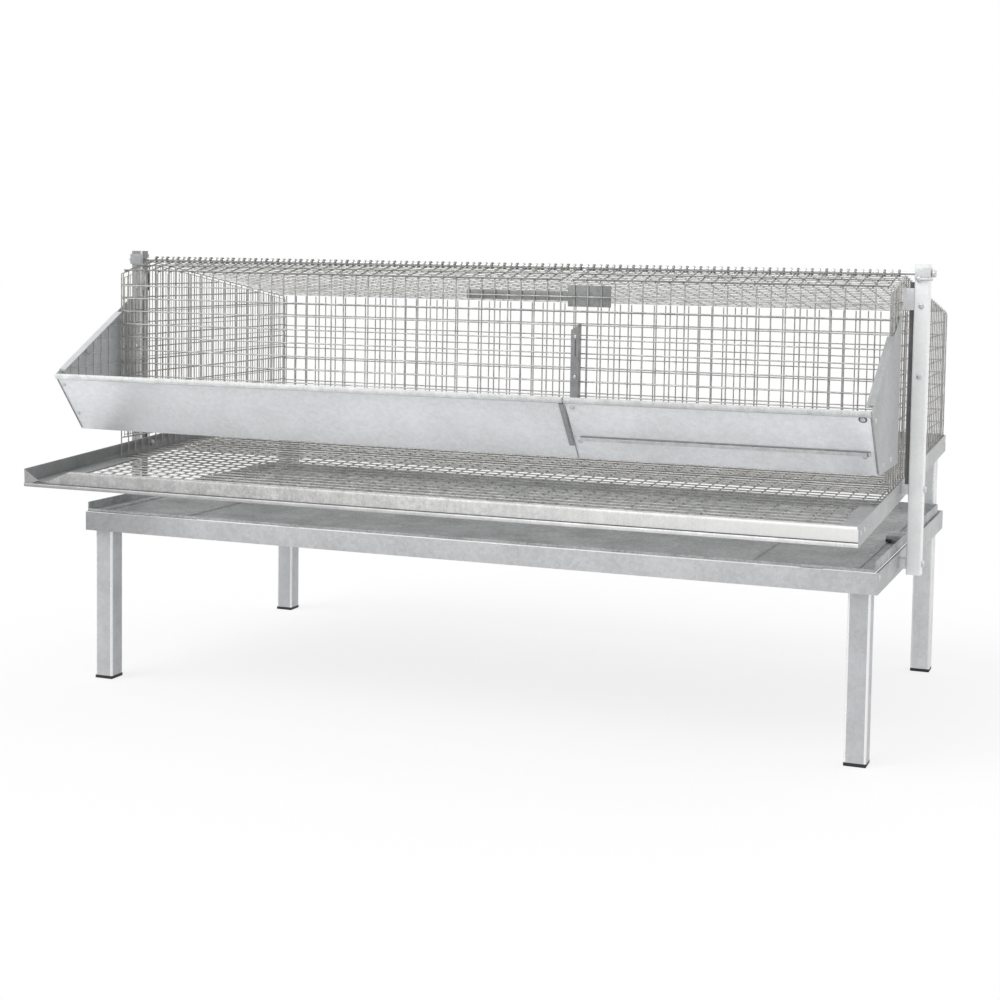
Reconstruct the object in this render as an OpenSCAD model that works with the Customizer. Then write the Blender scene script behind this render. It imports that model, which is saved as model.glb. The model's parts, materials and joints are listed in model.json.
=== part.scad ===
// Quail cage: wire mesh cage with a roll-out egg floor, feed troughs and a litter tray on a tube stand.
// Frame: +X to the right, +Y to the back, +Z up, origin under the middle of the cage on the floor.

/* [Stand] */
// From the ends of the cage in to the legs
leg_inset = 10; // [4:1:20]
// Side of the square leg tube
leg_size = 30; // [25:1:36]
// Wall of the leg tube
leg_wall = 1.5; // [1:0.1:2.5]
// From the front of the egg lip to the front legs
leg_setback = 165; // [150:1:190]
// From the back of the floor in to the rear legs
rear_leg_inset = 7.5; // [6:0.5:20]
// Height of the black foot caps under the tubes
cap_height = 5; // [4:0.5:8]
// Underside of the stand rails above the floor
stand_height = 231; // [180:1:400]
// Height of the stand rails
stand_rail_height = 29; // [24:1:32]
// Width of the inward flange of the stand rails
stand_flange = 25; // [20:1:30]

/* [Litter tray] */
// Height of the folded sides of the litter tray
tray_wall = 14; // [8:1:20]
// Height of the low hem on the front of the litter tray
tray_hem = 4; // [2:0.5:7]

/* [Egg floor] */
// Depth from the egg lip to the back of the floor
floor_depth = 790; // [700:1:1000]
// Length across the outer faces of the floor rails
cage_length = 1204; // [1000:2:1500]
// From the top of the stand rails up to the egg lip
floor_lift = 56; // [40:1:90]
// Height of the egg lip and of the floor rails
lip_height = 26; // [20:1:32]
// Width of the inward flange of the floor rails
floor_flange = 25; // [18:1:32]
// Slope of the floor, down to the front, in degrees
floor_slope = 2.9; // [1:0.1:3.2]

/* [Mesh] */
// Pitch of the mesh
mesh_pitch = 20; // [20:1:25]
// Diameter of the mesh wire
wire = 2; // [1.6:0.1:2.4]
// From the egg lip to the front mesh
front_setback = 245; // [220:1:280]
// From the egg lip up to the top of the front mesh
front_rise = 308; // [290:1:360]
// From the egg lip up to the top of the rear mesh
rear_rise = 261; // [220:1:280]

/* [Uprights] */
// Side of the square tube of the uprights
upright_size = 20; // [18:1:24]
// Wall of the upright tube
upright_wall = 1.5; // [1:0.1:2]
// From the front mesh back to the uprights
upright_behind = 76; // [60:1:120]
// Gap between the cage and the uprights
upright_standoff = 10; // [6:1:16]
// From the top of the front mesh up to the hinge rod
rod_rise = 21; // [16:1:40]
// From the hinge rod up to the top of the uprights
upright_over = 13; // [10:1:40]
// Diameter of the hinge rod
rod_d = 5; // [4:0.5:6]
// Place of the gap between the two lids from the middle of the cage
lid_split_x = 143; // [100:1:160]

/* [Trough] */
// From the egg lip to the trough rim
rim_setback = 74; // [60:1:90]
// Depth of the trough from its rim to its floor
trough_depth = 86; // [70:1:100]
// From the egg lip to the fold at the foot of the trough front
trough_fold = 144; // [130:1:160]
// From the egg lip up to the trough floor
trough_lift = 72; // [62:1:86]
// Height of the back wall of the trough
trough_back = 40; // [30:1:44]
// Height of the end plates of the troughs
end_plate_height = 204; // [160:1:220]
// Place of the joint between the two troughs
split_x = 196; // [180:1:220]
// How far the foot of the right trough is set back under its fold
fold_in = 3; // [2:0.5:4]

/* [Sheet] */
// Thickness of the galvanised sheet
sheet = 1.5; // [1:0.1:1.8]
// Gap between pieces that move past each other
running_gap = 0.4; // [0.3:0.05:0.5]

/* [Hidden] */
$fn = 24;

galvanised = [0.78, 0.80, 0.82];
wire_grey = [0.62, 0.62, 0.61];
cap_black = [0.08, 0.08, 0.09];

// The frame's origin is under the middle of the floor, so every setback starts at the egg lip.
floor_run = floor_depth - sheet;
lip_y = (lip_height * sin(floor_slope) - floor_run * cos(floor_slope)) / 2;
front_leg_y = lip_y + leg_setback;
rear_leg_y = lip_y + floor_run * cos(floor_slope) - rear_leg_inset - leg_size;
cage_x = cage_length / 2;
leg_x = cage_x - leg_inset - leg_size;
wire_r = wire / 2;
touch = 0.05;
stand_top = stand_height + stand_rail_height;
rail_overhang = 11;
stand_front_y = front_leg_y - rail_overhang;
stand_rear_y = rear_leg_y + leg_size;

// Heights build up from the stand: the egg floor on it, then the troughs, the walls and the hinge rod.
floor_height = stand_top + floor_lift;
trough_height = floor_height + trough_lift;
rim_height = trough_height + trough_depth;
end_plate_top = trough_height + end_plate_height;
front_top = floor_height + front_rise;
rear_top = floor_height + rear_rise;
rod_height = front_top + rod_rise;
upright_top = rod_height + upright_over;

// Floor: a flat unit turned up at the back about the lower front edge of the lip.
function floor_z(y, lift) = floor_height + (y - lip_y) * tan(floor_slope) + lift / cos(floor_slope);
rear_leg_top = floor_z(rear_leg_y, 0) - touch;
floor_wire_z = sheet + touch + wire_r;
floor_top_lift = floor_wire_z + wire + touch + wire_r;

// Cage walls. Upright wires carry the cross wires on their inner or front side.
front_y = lip_y + front_setback;
rear_face = lip_y + (floor_run - sheet) * cos(floor_slope) - lip_height * sin(floor_slope);
rear_y = rear_face - touch - wire_r;
end_inset = 4;
end_x = cage_x - end_inset;
inner_x = end_x - wire - touch;
trough_clear = 4;
front_low = trough_height - trough_clear;

// Hinge rod through both uprights, with the wire eyes of the lids and the roof on it. The uprights stand
// at the middle of a cell of the end mesh, so that their nuts clear its wires.
upright_x = cage_x + upright_standoff;
end_from = front_y + wire_r;
end_to = rear_y - wire_r;
end_cell = (end_to - end_from) / cells(end_to - end_from);
rod_y = end_from + (floor((upright_behind + upright_size / 2) / end_cell) + 0.5) * end_cell;
upright_y = rod_y - upright_size / 2;
eye_r = rod_d / 2 + running_gap;
eye_out = eye_r + wire;
eye_w = wire * 1.25;
lid_rest = front_top + wire + running_gap;
lid_reach = rod_y - front_y;
lid_slope = atan((rod_height - lid_rest) / lid_reach);
lid_length = lid_reach / cos(lid_slope);
roof_rest = rear_top + wire * 2 + touch;
roof_reach = rear_y - rod_y;
roof_slope = atan((rod_height - roof_rest) / roof_reach);
roof_length = roof_reach / cos(roof_slope);
edge_drop = 2 * (wire + touch);
function under_roof(y, drop) = rod_height - (y < rod_y
    ? (rod_y - y) * tan(lid_slope) + drop / cos(lid_slope)
    : (y - rod_y) * tan(roof_slope) + drop / cos(roof_slope));

// Trough section in setback and height, and the hooks that hang it on a wire of the front mesh.
trough_gap = 6;
trough_rear = front_setback - trough_gap;
trough_end_x = cage_x - sheet;
hook_w = 8;
hook_t = 1.2;
hook_clear = 4;
hook_wire = ceil((trough_back + hook_clear + trough_clear) / mesh_pitch) * mesh_pitch + front_low;
front_wire_y = front_y - wire - touch;
joint_gap = 1;

bolt_d = 5;
bolt_bore = bolt_d + running_gap;
bolt_end = 1;
head_across = 8;
head_h = 3.2;
nut_h = 4;
rivet_d = 7;
rivet_h = 1.6;
rivet_inset = 14;
rail_rivet_z = lip_height * 0.6;
bolt_y = rod_y;
bolt_low_z = stand_height + stand_rail_height / 2;
bolt_high_z = floor_z(bolt_y, rail_rivet_z);
bolt_heights = [bolt_low_z, bolt_high_z];

function steps(from, to, pitch) = [for (i = [0:floor((to - from) / pitch + 0.001)]) from + i * pitch];
function spread(from, to, count) = [for (i = [0:count]) from + (to - from) * i / count];
function cells(length) = max(1, round(length / mesh_pitch));

module wire_x(from, to, y, z) {
    translate([from, y, z]) rotate([0, 90, 0]) cylinder(d = wire, h = to - from);
}
module wire_y(from, to, x, z) {
    translate([x, from, z]) rotate([-90, 0, 0]) cylinder(d = wire, h = to - from);
}
module wire_z(from, to, x, y) {
    translate([x, y, from]) cylinder(d = wire, h = to - from);
}
module box(x, y, z) {
    translate([x[0], y[0], z[0]]) cube([x[1] - x[0], y[1] - y[0], z[1] - z[0]]);
}
module across_x(x, y, z, d, h) {
    translate([x, y, z]) rotate([0, 90, 0]) cylinder(d = d, h = h);
}
module both_sides() {
    children();
    mirror([1, 0, 0]) children();
}
module on_floor() {
    translate([0, lip_y, floor_height]) rotate([floor_slope, 0, 0]) children();
}
module tube_up(size, wall, height) {
    difference() {
        cube([size, size, height]);
        translate([wall, wall, -1]) cube([size - 2 * wall, size - 2 * wall, height + 2]);
    }
}

// Legs: square tubes, the rear pair longer to carry the back of the floor rails.
module leg(side, y, top) {
    color(galvanised)
    translate([side > 0 ? leg_x : -leg_x - leg_size, y, cap_height])
        tube_up(leg_size, leg_wall, top - cap_height);
}
module leg_front_left() { leg(-1, front_leg_y, stand_height); }
module leg_front_right() { leg(1, front_leg_y, stand_height); }
module leg_rear_left() { leg(-1, rear_leg_y, rear_leg_top); }
module leg_rear_right() { leg(1, rear_leg_y, rear_leg_top); }

// Foot caps: black plugs with a plate under the tube and a stem inside it.
cap_stem = 14;
cap_fit = 0.1;
module foot_caps() {
    stem = leg_size - 2 * leg_wall - 2 * cap_fit;
    inset = (leg_size - stem) / 2;
    color(cap_black) both_sides() for (y = [front_leg_y, rear_leg_y]) translate([leg_x, y, 0]) {
        cube([leg_size, leg_size, cap_height]);
        translate([inset, inset, cap_height]) cube([stem, stem, cap_stem]);
    }
}

// Stand rails: angles with the web outside and the flange at the bottom, inside.
stand_x = cage_x;
module stand_front_rail() {
    color(galvanised) {
        box([-stand_x, stand_x], [stand_front_y, stand_front_y + sheet], [stand_height, stand_top]);
        box([-stand_x + sheet, stand_x - sheet], [stand_front_y, stand_front_y + stand_flange],
            [stand_height, stand_height + sheet]);
    }
}
module stand_rear_rail() {
    color(galvanised) {
        box([-stand_x, stand_x], [stand_rear_y, stand_rear_y + sheet], [stand_height, stand_top]);
        box([-leg_x, leg_x], [stand_rear_y - stand_flange, stand_rear_y + sheet],
            [stand_height, stand_height + sheet]);
    }
}
module stand_side_rail() {
    color(galvanised) difference() {
        union() {
            box([stand_x - sheet, stand_x], [stand_front_y + sheet, stand_rear_y],
                [stand_height, stand_top]);
            box([stand_x - stand_flange, stand_x], [stand_front_y + stand_flange, rear_leg_y],
                [stand_height, stand_height + sheet]);
        }
        across_x(stand_x - sheet * 2, bolt_y, bolt_low_z, bolt_bore, sheet * 3);
    }
}
module stand_right_rail() { stand_side_rail(); }
module stand_left_rail() { mirror([1, 0, 0]) stand_side_rail(); }

// Screw heads on the outer faces of the stand: through the rear web into the legs, and at the corners.
module stand_screws() {
    z = stand_height + stand_rail_height / 2;
    color(galvanised) both_sides() {
        translate([leg_x + leg_size / 2, stand_rear_y + sheet, z])
            rotate([-90, 0, 0]) cylinder(d = rivet_d, h = rivet_h);
        across_x(stand_x, stand_front_y + sheet + rivet_d, stand_top - rivet_d, rivet_d, rivet_h);
    }
}

// Litter runners: two angles across the stand that carry the litter tray level with the rails.
runner_inset = 102;
runner_x = cage_x - runner_inset;
runner_flange = 20;
runner_top = stand_top + touch;
module litter_runners() {
    color(galvanised) both_sides() {
        box([runner_x, runner_x + sheet], [stand_front_y + sheet, stand_rear_y],
            [stand_height + sheet, runner_top]);
        box([runner_x, runner_x + runner_flange], [stand_front_y + sheet, stand_rear_y],
            [runner_top - sheet, runner_top]);
    }
}

// Litter tray: one folded sheet with sides, a back and a low front hem, sliding out over the front rail.
tray_clear = 2;
tray_leg_gap = 6;
tray_x = cage_x - sheet - tray_clear;
tray_front = stand_front_y + 1;
tray_rear = rear_leg_y - tray_leg_gap;
tray_z = runner_top + running_gap;
module litter_tray() {
    color(galvanised) difference() {
        box([-tray_x, tray_x], [tray_front, tray_rear], [tray_z, tray_z + tray_wall]);
        box([-tray_x + sheet, tray_x - sheet], [tray_front + sheet, tray_rear - sheet],
            [tray_z + sheet, tray_z + tray_wall + 1]);
        box([-tray_x + sheet, tray_x - sheet], [tray_front - 1, tray_front + sheet + 1],
            [tray_z + tray_hem, tray_z + tray_wall + 1]);
    }
}

// Floor rails: angles on the slope, web outside, flange inside at the bottom under the floor mesh.
module floor_side_rail() {
    color(galvanised) difference() {
        on_floor() {
            box([cage_x - sheet, cage_x], [sheet, floor_run - sheet], [0, lip_height]);
            box([cage_x - floor_flange, cage_x], [floor_flange, floor_run - floor_flange], [0, sheet]);
        }
        across_x(cage_x - sheet * 2, bolt_y, bolt_high_z, bolt_bore, sheet * 3);
    }
}
module floor_right_rail() { floor_side_rail(); }
module floor_left_rail() { mirror([1, 0, 0]) floor_side_rail(); }
lip_hem = 5;
module egg_lip() {
    color(galvanised) on_floor() {
        box([-cage_x, cage_x], [0, sheet], [0, lip_height]);
        box([-cage_x + sheet, cage_x - sheet], [0, floor_flange], [0, sheet]);
        box([-cage_x + sheet, cage_x - sheet], [0, sheet * 2], [lip_height - lip_hem, lip_height]);
    }
}
module floor_rear_rail() {
    color(galvanised) on_floor() {
        box([-cage_x, cage_x], [floor_run - sheet, floor_run], [0, lip_height]);
        box([-cage_x + sheet, cage_x - sheet], [floor_run - floor_flange, floor_run], [0, sheet]);
    }
}

// Floor mesh: depth wires on the flanges with the cross wires welded on top of them.
mesh_margin = 6;
floor_x = cage_x - sheet - mesh_margin;
module floor_mesh() {
    depth = floor_run - 2 * sheet - 2 * mesh_margin;
    low = sheet + mesh_margin;
    color(wire_grey) on_floor() {
        for (x = spread(-floor_x, floor_x, cells(2 * floor_x))) wire_y(low, low + depth, x, floor_wire_z);
        for (y = spread(low + wire, low + depth - wire, cells(depth)))
            wire_x(-floor_x - wire, floor_x + wire, y, floor_wire_z + wire + touch);
    }
}

// Rivets of the floor unit, on the outer face of each side rail near its ends.
module floor_rivets() {
    color(galvanised) both_sides() on_floor()
        for (y = [rivet_inset, floor_run * 0.45, floor_run - rivet_inset])
            across_x(cage_x, y, rail_rivet_z, rivet_d, rivet_h);
}

// Uprights: thin square tubes outside the rails, bolted to the stand and to the floor, bored for the rod.
module upright() {
    color(galvanised) difference() {
        translate([upright_x, upright_y, stand_height])
            tube_up(upright_size, upright_wall, upright_top - stand_height);
        for (z = bolt_heights) across_x(upright_x - 1, bolt_y, z, bolt_bore, upright_size + 2);
        across_x(upright_x - 1, rod_y, rod_height, rod_d + 2 * running_gap, upright_size + 2);
    }
}
module upright_right() { upright(); }
module upright_left() { mirror([1, 0, 0]) upright(); }
module upright_bolts() {
    color(galvanised) both_sides() for (z = bolt_heights) {
        translate([upright_x + upright_size, bolt_y, z]) rotate([0, 90, 0])
            cylinder(d = head_across / cos(30), h = head_h, $fn = 6);
        across_x(cage_x - sheet - nut_h - bolt_end, bolt_y, z, bolt_d,
            upright_x - cage_x + upright_size + sheet + nut_h + bolt_end);
    }
}
module upright_nuts() {
    color(galvanised) both_sides() for (z = bolt_heights)
        translate([cage_x - sheet - nut_h, bolt_y, z]) rotate([0, 90, 0]) difference() {
            cylinder(d = head_across / cos(30), h = nut_h, $fn = 6);
            translate([0, 0, -1]) cylinder(d = bolt_bore, h = nut_h + 2);
        }
}

// Spacers: short blocks on the bolts that keep the uprights clear of the cage.
spacer_size = 14;
module upright_spacers() {
    color(galvanised) both_sides() for (z = bolt_heights) difference() {
        box([cage_x, upright_x], [bolt_y - spacer_size / 2, bolt_y + spacer_size / 2],
            [z - spacer_size / 2, z + spacer_size / 2]);
        across_x(cage_x - 1, bolt_y, z, bolt_bore, upright_standoff + 2);
    }
}

// Bands: strips folded round the front, the outside and the back of each upright, clamping the rod.
band_h = 16;
band_t = 1;
module upright_bands() {
    out = upright_x + upright_size;
    back = upright_y + upright_size;
    z = [rod_height - band_h / 2, rod_height + band_h / 2];
    color(galvanised) both_sides() difference() {
        union() {
            box([upright_x, out + band_t], [upright_y - band_t, upright_y], z);
            box([out, out + band_t], [upright_y - band_t, back + band_t], z);
            box([upright_x, out + band_t], [back, back + band_t], z);
        }
        across_x(out - 1, rod_y, rod_height, rod_d + 2 * running_gap, band_t + 2);
    }
}

// Brackets: strips folded in a Z from the end mesh to the inside of the uprights.
bracket_h = 30;
bracket_flange = 14;
module mesh_brackets() {
    top = rod_height - rod_d * 2 - bracket_h / 3;
    z = [top - bracket_h, top];
    mesh_side = end_x + wire_r + touch;
    color(galvanised) both_sides() {
        box([mesh_side, mesh_side + sheet], [upright_y - bracket_flange, upright_y + sheet], z);
        box([mesh_side, upright_x], [upright_y, upright_y + sheet], z);
        box([upright_x - sheet, upright_x], [upright_y, upright_y + bracket_flange], z);
    }
}

// Front mesh: upright wires with the cross wires in front, from the trough to the lids.
front_x = inner_x - wire_r - touch;
module front_mesh() {
    color(wire_grey) {
        for (x = spread(-front_x + wire_r, front_x - wire_r, cells(2 * front_x)))
            wire_z(front_low - wire, front_top, x, front_y);
        for (z = steps(front_low, front_top - wire_r, mesh_pitch))
            wire_x(-front_x, front_x, front_wire_y, z);
    }
}

// Rear mesh: stands on the rear floor rail's mesh, cross wires inside.
rear_inner_y = rear_y - wire - touch;
rear_foot = floor_z(rear_y, floor_top_lift) + touch;
module rear_mesh() {
    color(wire_grey) {
        for (x = spread(-front_x + wire_r, front_x - wire_r, cells(2 * front_x)))
            wire_z(rear_foot, rear_top + wire_r, x, rear_y);
        for (z = steps(rear_foot + wire, rear_top, mesh_pitch)) wire_x(-front_x, front_x, rear_inner_y, z);
    }
}

// End walls: upright wires between the floor and two edge wires that follow the lids and the roof.
module right_end_mesh() {
    foot = floor_z(end_to, floor_top_lift) + wire * 2;
    color(wire_grey) {
        for (y = spread(end_from, end_to, cells(end_to - end_from)))
            wire_z(floor_z(y, floor_top_lift) + wire, under_roof(y, edge_drop + wire_r + touch), end_x, y);
        for (z = steps(foot, rear_top - wire, mesh_pitch)) wire_y(end_from, end_to, inner_x, z);
        for (z = steps(foot, front_top - wire * 2, mesh_pitch)) if (z > rear_top - wire)
            wire_y(end_from, rod_y + (rod_height - eye_out - wire * 3 - z) / tan(roof_slope), inner_x, z);
        translate([end_x, rod_y, rod_height]) {
            rotate([lid_slope, 0, 0]) wire_y(-lid_length, 0, 0, -edge_drop);
            rotate([-roof_slope, 0, 0]) wire_y(0, roof_length - wire, 0, -edge_drop);
        }
    }
}
module left_end_mesh() { mirror([1, 0, 0]) right_end_mesh(); }

// Plates: a strip and a taller plate behind the top of the front mesh, beside the gap between the lids.
plate_t = 1.2;
plate_y = front_y + wire_r + touch;
plate_gap = 2;
plate_long = 155;
plate_short = 62;
plate_tall = 30;
plate_strip = [22, 9];
module front_plates() {
    top = front_top - wire * 2;
    color(galvanised) {
        box([lid_split_x - plate_gap - plate_long, lid_split_x - plate_gap], [plate_y, plate_y + plate_t],
            [top - plate_strip[0], top - plate_strip[1]]);
        box([lid_split_x - plate_gap, lid_split_x + plate_short], [plate_y, plate_y + plate_t],
            [top - plate_tall, top]);
    }
}

// Eyes: each depth wire of a lid or of the roof ends in an eye round the hinge rod.
module eye(x) {
    difference() {
        across_x(x - eye_w / 2, 0, 0, 2 * eye_out, eye_w);
        across_x(x - eye_w, 0, 0, 2 * eye_r, 2 * eye_w);
    }
}
eye_from = front_x - eye_w * 2;
eye_cells = cells(2 * eye_from);
eye_pitch = 2 * eye_from / eye_cells;

eye_weld = 0.4;

// Roof mesh: from the hinge rod down to the top of the rear mesh, cross wires underneath.
module roof_mesh() {
    color(wire_grey) translate([0, rod_y, rod_height]) rotate([-roof_slope, 0, 0]) {
        for (i = [0:eye_cells - 1]) {
            x = -eye_from + (i + 0.5) * eye_pitch;
            eye(x);
            wire_y(eye_out - eye_weld, roof_length, x, 0);
        }
        for (y = steps(mesh_pitch, roof_length - wire, mesh_pitch))
            wire_x(-end_x - wire_r, end_x + wire_r, y, -wire - touch);
    }
}

// Lids: the front of the roof in two halves, hung on the rod between the roof's eyes.
lid_gap = 3;
lid_rows = 2;
function lid_places(side) = [for (i = [0:eye_cells]) let (x = -eye_from + i * eye_pitch)
    if (side * (x - lid_split_x) > lid_gap + eye_w) x];
module lid(places) {
    color(wire_grey) translate([0, rod_y, rod_height]) rotate([lid_slope, 0, 0]) {
        for (x = places) {
            eye(x);
            wire_y(-lid_length - wire, -eye_out + eye_weld, x, 0);
        }
        for (y = spread(-lid_length, -mesh_pitch, lid_rows))
            wire_x(places[0] - eye_w, places[len(places) - 1] + eye_w, y, wire + touch);
    }
}
module lid_left() { lid(lid_places(-1)); }
module lid_right() { lid(lid_places(1)); }

// Hinge rod through both uprights, with pressed caps on its ends.
rod_cap_d = 10;
rod_cap_w = 6;
rod_end = upright_x + upright_size + band_t + running_gap;
module hinge_rod() {
    color(galvanised) across_x(-rod_end - rod_cap_w / 2, rod_y, rod_height, rod_d, 2 * rod_end + rod_cap_w);
}
module rod_caps() {
    color(galvanised) both_sides() translate([rod_end, rod_y, rod_height]) rotate([0, 90, 0]) difference() {
        cylinder(d = rod_cap_d, h = rod_cap_w);
        translate([0, 0, -1]) cylinder(d = rod_d, h = rod_cap_w / 2 + 1);
    }
}

// Trough section: rim hem, sloping front, flat floor and a low back wall, bent from one sheet.
front_run = trough_fold - rim_setback;
front_angle = atan(front_run / trough_depth);
front_skin = sheet / cos(front_angle);
rim_hem = 5;
fold_at = 0.62;
module trough_section(step) {
    fold_s = rim_setback + front_run * fold_at;
    fold_z = rim_height - trough_depth * fold_at;
    skin_s = fold_s + front_skin - sheet * tan(front_angle);
    back_top = trough_height + trough_back;
    polygon(concat(
        [[rim_setback, rim_height]],
        step > 0 ? [[fold_s, fold_z], [fold_s + step, fold_z]] : [],
        [[trough_fold, trough_height], [trough_rear, trough_height], [trough_rear, back_top],
         [trough_rear - sheet, back_top], [trough_rear - sheet, trough_height + sheet],
         [trough_fold + front_skin * 0.6, trough_height + sheet]],
        step > 0 ? [[fold_s + step + front_skin, fold_z], [skin_s + step, fold_z + sheet],
                    [skin_s, fold_z + sheet]] : [],
        [[rim_setback + front_skin, rim_height - sheet],
         [rim_setback + front_skin + rim_hem, rim_height - sheet],
         [rim_setback + front_skin + rim_hem, rim_height]]));
}
// Lays a section drawn in setback and height along X.
module along_x(from, to) {
    translate([from, lip_y, 0]) rotate([90, 0, 90]) linear_extrude(to - from) children();
}
// Inner end of a trough, folded from the same sheet.
module trough_inner_end() {
    polygon([[rim_setback + sheet, rim_height - sheet], [trough_fold, trough_height],
        [trough_rear, trough_height],
        [trough_rear, trough_height + trough_back], [trough_rear - sheet, trough_height + trough_back]]);
}
module trough_left() {
    color(galvanised) {
        along_x(-trough_end_x, split_x - joint_gap) trough_section(0);
        along_x(split_x - joint_gap - sheet, split_x - joint_gap) trough_inner_end();
    }
}
module trough_right() {
    color(galvanised) {
        along_x(split_x + joint_gap, trough_end_x) trough_section(fold_in);
        along_x(split_x + joint_gap, split_x + joint_gap + sheet) trough_inner_end();
    }
}

// End plates: close the outer ends of the troughs, rise along the end mesh and fold in along the slope.
plate_tail = 45;
plate_back = front_setback + plate_tail;
plate_fold = 9;
edge_rise = (end_plate_top - rim_height) / (plate_back - rim_setback);
fold_from = rim_setback + front_skin + 2 * rim_hem;
fold_to = trough_rear - trough_gap / 2;
function edge_z(setback) = rim_height + (setback - rim_setback) * edge_rise;
module end_plate() {
    color(galvanised) {
        along_x(trough_end_x, trough_end_x + sheet) polygon([
            [rim_setback, rim_height], [trough_fold, trough_height], [plate_back, trough_height],
            [plate_back, end_plate_top]]);
        along_x(trough_end_x - plate_fold, trough_end_x + sheet) polygon([
            [fold_from, edge_z(fold_from)], [fold_from, edge_z(fold_from) - sheet],
            [fold_to, edge_z(fold_to) - sheet], [fold_to, edge_z(fold_to)]]);
    }
}
module trough_end_right() { end_plate(); }
module trough_end_left() { mirror([1, 0, 0]) end_plate(); }

// Hooks: straps on the back wall of each trough that hang over a wire of the front mesh.
hook_drop = 7;
hook_foot = 16;
hook_inset = 70;
module hook(x) {
    face = lip_y + trough_rear;
    over = front_y + wire_r + 1;
    bridge = hook_wire + wire_r + running_gap;
    box([x - hook_w / 2, x + hook_w / 2], [face, face + hook_t],
        [trough_height + trough_back - hook_foot, bridge + hook_t]);
    box([x - hook_w / 2, x + hook_w / 2], [face, over + hook_t], [bridge, bridge + hook_t]);
    box([x - hook_w / 2, x + hook_w / 2], [over, over + hook_t], [bridge - hook_drop, bridge + hook_t]);
}
// Middle of the mesh cell nearest to x.
cell_w = (2 * front_x - wire) / cells(2 * front_x);
function cell_mid(x) = -front_x + wire_r + (floor((x + front_x - wire_r) / cell_w) + 0.5) * cell_w;
module hooks(from, to) {
    color(galvanised) for (x = spread(from + hook_inset, to - hook_inset, 3)) hook(cell_mid(x));
}
module trough_hooks_left() { hooks(-trough_end_x, split_x); }
module trough_hooks_right() { hooks(split_x, trough_end_x); }

// Rivets on the end plates, holding them to the troughs.
rivet_edge = 12;
module trough_rivets_right() {
    low = trough_height + rivet_edge;
    color(galvanised) for (p = [[rim_setback + 2 * rivet_edge, rim_height - rivet_edge],
                               [trough_fold + 1.5 * rivet_edge, low], [trough_rear - rivet_edge, low]])
        across_x(trough_end_x + sheet, lip_y + p[0], p[1], rivet_d, rivet_h);
}
module trough_rivets_left() { mirror([1, 0, 0]) trough_rivets_right(); }

// Joint strip: lies on the sloping front of the left trough and covers the joint.
strip_w = 12;
strip_end = 4;
module trough_joint_strip() {
    color(galvanised) translate([0, lip_y + rim_setback, rim_height]) rotate([front_angle, 0, 0])
        box([split_x - strip_w - joint_gap, split_x - joint_gap], [-sheet - touch, -touch],
            [-trough_depth / cos(front_angle) + strip_end, -strip_end]);
}
// Joint bracket: stands behind the rim near the joint, fixed to the left trough's back wall.
bracket_w = 14;
bracket_from_joint = 33;
bracket_x = split_x - bracket_from_joint;
bracket_rise = 92;
module trough_joint_bracket() {
    face = lip_y + trough_rear;
    color(galvanised) box([bracket_x - bracket_w, bracket_x], [face, face + hook_t],
        [trough_height + strip_end, rim_height + bracket_rise]);
}

leg_front_left();
leg_front_right();
leg_rear_left();
leg_rear_right();
foot_caps();
stand_front_rail();
stand_rear_rail();
stand_left_rail();
stand_right_rail();
stand_screws();
litter_runners();
litter_tray();
floor_left_rail();
floor_right_rail();
egg_lip();
floor_rear_rail();
floor_mesh();
floor_rivets();
upright_left();
upright_right();
upright_bolts();
upright_nuts();
upright_spacers();
upright_bands();
mesh_brackets();
front_mesh();
rear_mesh();
left_end_mesh();
right_end_mesh();
roof_mesh();
front_plates();
hinge_rod();
rod_caps();
lid_left();
lid_right();
trough_left();
trough_end_left();
trough_hooks_left();
trough_rivets_left();
trough_right();
trough_end_right();
trough_hooks_right();
trough_rivets_right();
trough_joint_strip();
trough_joint_bracket();
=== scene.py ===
import json
import math
import bmesh
import bpy
from mathutils import Matrix, Vector


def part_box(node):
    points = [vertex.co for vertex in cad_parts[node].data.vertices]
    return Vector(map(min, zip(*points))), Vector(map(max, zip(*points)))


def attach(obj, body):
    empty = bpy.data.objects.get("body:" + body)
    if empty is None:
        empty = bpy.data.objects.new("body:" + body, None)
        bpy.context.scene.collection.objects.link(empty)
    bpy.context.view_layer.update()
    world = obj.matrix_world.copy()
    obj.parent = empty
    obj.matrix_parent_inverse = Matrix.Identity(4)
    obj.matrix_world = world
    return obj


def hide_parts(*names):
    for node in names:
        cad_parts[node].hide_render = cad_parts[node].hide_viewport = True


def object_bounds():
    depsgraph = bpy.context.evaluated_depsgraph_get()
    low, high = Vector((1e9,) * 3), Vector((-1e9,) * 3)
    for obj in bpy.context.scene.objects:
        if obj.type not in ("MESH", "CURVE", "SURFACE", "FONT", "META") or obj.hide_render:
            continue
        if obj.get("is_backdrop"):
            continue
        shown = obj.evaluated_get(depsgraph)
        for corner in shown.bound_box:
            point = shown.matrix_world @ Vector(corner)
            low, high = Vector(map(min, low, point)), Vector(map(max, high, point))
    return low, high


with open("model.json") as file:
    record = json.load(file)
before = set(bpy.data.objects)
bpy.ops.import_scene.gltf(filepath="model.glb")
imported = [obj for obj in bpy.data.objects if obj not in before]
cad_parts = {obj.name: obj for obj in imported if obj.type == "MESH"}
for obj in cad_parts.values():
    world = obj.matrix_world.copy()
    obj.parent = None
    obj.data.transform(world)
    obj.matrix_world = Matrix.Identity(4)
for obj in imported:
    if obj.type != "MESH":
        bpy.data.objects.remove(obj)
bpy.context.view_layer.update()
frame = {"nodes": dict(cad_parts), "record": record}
nodes = frame["nodes"]
bodies = frame["record"]["behaviour"]["bodies"]
body_of = {node: body for body, members in bodies.items() for node in members}
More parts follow.
